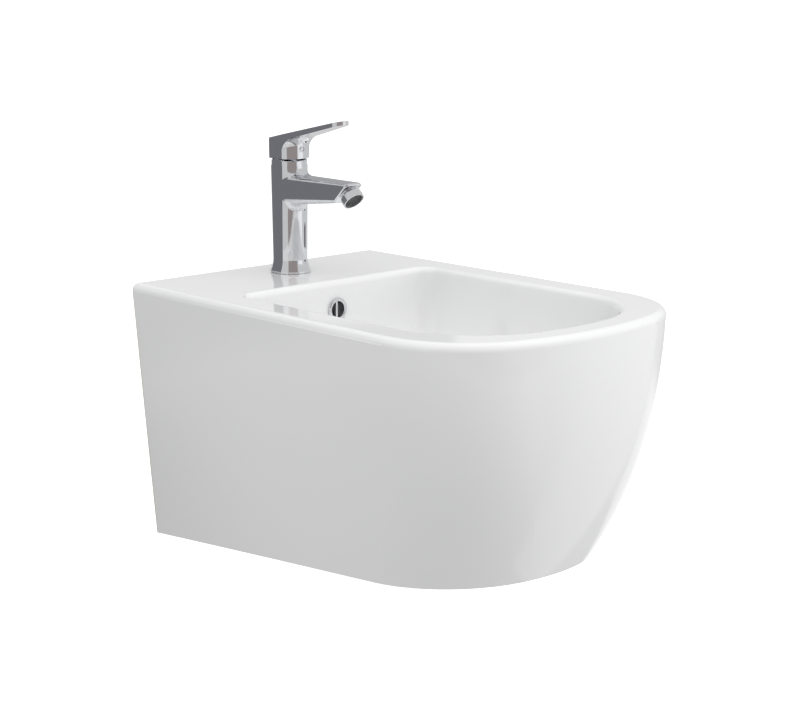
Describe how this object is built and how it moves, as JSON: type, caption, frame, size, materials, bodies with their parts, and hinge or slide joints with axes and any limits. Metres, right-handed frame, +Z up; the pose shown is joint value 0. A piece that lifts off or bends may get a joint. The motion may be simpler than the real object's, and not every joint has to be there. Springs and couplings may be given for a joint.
{
  "type": "wall-hung bidet",
  "caption": "Wall-hung bidet: white glazed ceramic skirt and bowl for wall studs, with a single-lever mixer, swivel outlet, overflow ring and push-plug waste.",
  "frame": {"origin": "on the back face of the ceramic, midway between the two wall studs", "axes": "+Z up, +Y into the wall, -Y to the front, +X to the right for someone facing the front"},
  "size_m": [0.3586, 0.525, 0.4667],
  "materials": {
    "glaze": "gloss",
    "chrome_tap": "polished",
    "chrome_lever": "polished",
    "chrome_trim": "polished",
    "chrome_waste": "polished",
    "brass": "machined",
    "zinc_steel": "zinc plated",
    "stainless": "drawn",
    "rubber": "matte",
    "nylon": "moulded",
    "cartridge_plastic": "moulded",
    "seat_plastic": "moulded",
    "insert_plastic": "moulded",
    "index": "satin",
    "alumina": "lapped"
  },
  "bodies": {
    "pan": {"ceramic_body": "glaze", "overflow_ring": "chrome_trim", "wall_sleeves": "nylon", "wall_washers": "zinc_steel", "wall_nuts": "zinc_steel", "tap_body": "chrome_tap", "base_gasket": "rubber", "fixing_stud": "brass", "horseshoe_gasket": "rubber", "horseshoe_clamp": "zinc_steel", "clamp_nut": "brass", "cartridge_seal": "rubber", "cartridge_base": "cartridge_plastic", "fixed_disc": "alumina", "cartridge_housing": "cartridge_plastic", "clamp_ring": "brass", "cover_ring": "chrome_trim", "swivel_collar": "chrome_trim", "waste_body": "chrome_waste", "flange_gasket": "rubber", "lower_gasket": "rubber", "back_nut": "brass", "plug_latch": "cartridge_plastic", "plug_spring": "stainless"},
    "rotor": {"cartridge_rotor": "cartridge_plastic", "pivot_pin": "stainless"},
    "lever": {"lever_handle": "chrome_lever", "index_plug": "index", "grub_screw": "stainless", "lever_stem": "brass"},
    "valve_disc": {"disc_carrier": "cartridge_plastic", "moving_disc": "alumina"},
    "swivel": {"swivel_seat": "seat_plastic"},
    "nozzle": {"swivel_ball": "chrome_trim", "nozzle_shell": "chrome_trim", "aerator_insert": "insert_plastic"},
    "plug": {"plug_cap": "chrome_waste", "plug_seal": "rubber", "plug_stem": "brass"}
  },
  "joints": [
    {"name": "lever_turn", "type": "hinge", "parent": "pan", "child": "rotor", "pos_m": [0, -0.056, 0.20445], "axis": [0, 0, 1], "range_deg": [-50, 50]},
    {"name": "lever_lift", "type": "hinge", "parent": "rotor", "child": "lever", "pos_m": [0, -0.056, 0.20445], "axis": [-1, 0, 0], "range_deg": [0, 22]},
    {"name": "disc_slide", "type": "slide", "parent": "rotor", "child": "valve_disc", "axis": [0, -1, 0], "range_m": [0, 0.0032]},
    {"name": "aerator_turn", "type": "hinge", "parent": "pan", "child": "swivel", "pos_m": [0, -0.15503, 0.19047], "axis": [0, -0.7071, -0.7071], "continuous": true},
    {"name": "aerator_tilt", "type": "hinge", "parent": "swivel", "child": "nozzle", "pos_m": [0, -0.15503, 0.19047], "axis": [1, 0, 0], "range_deg": [-15, 15]},
    {"name": "plug_press", "type": "slide", "parent": "pan", "child": "plug", "axis": [0, 0, -1], "range_m": [0, 0.008], "stiffness_N_per_m": 400, "springref_m": -0.005, "deforming": ["plug_spring"]}
  ],
  "couplings": [
    {"joint": "disc_slide", "follows": "lever_lift", "m_per_rad": 0.0082926}
  ]
}
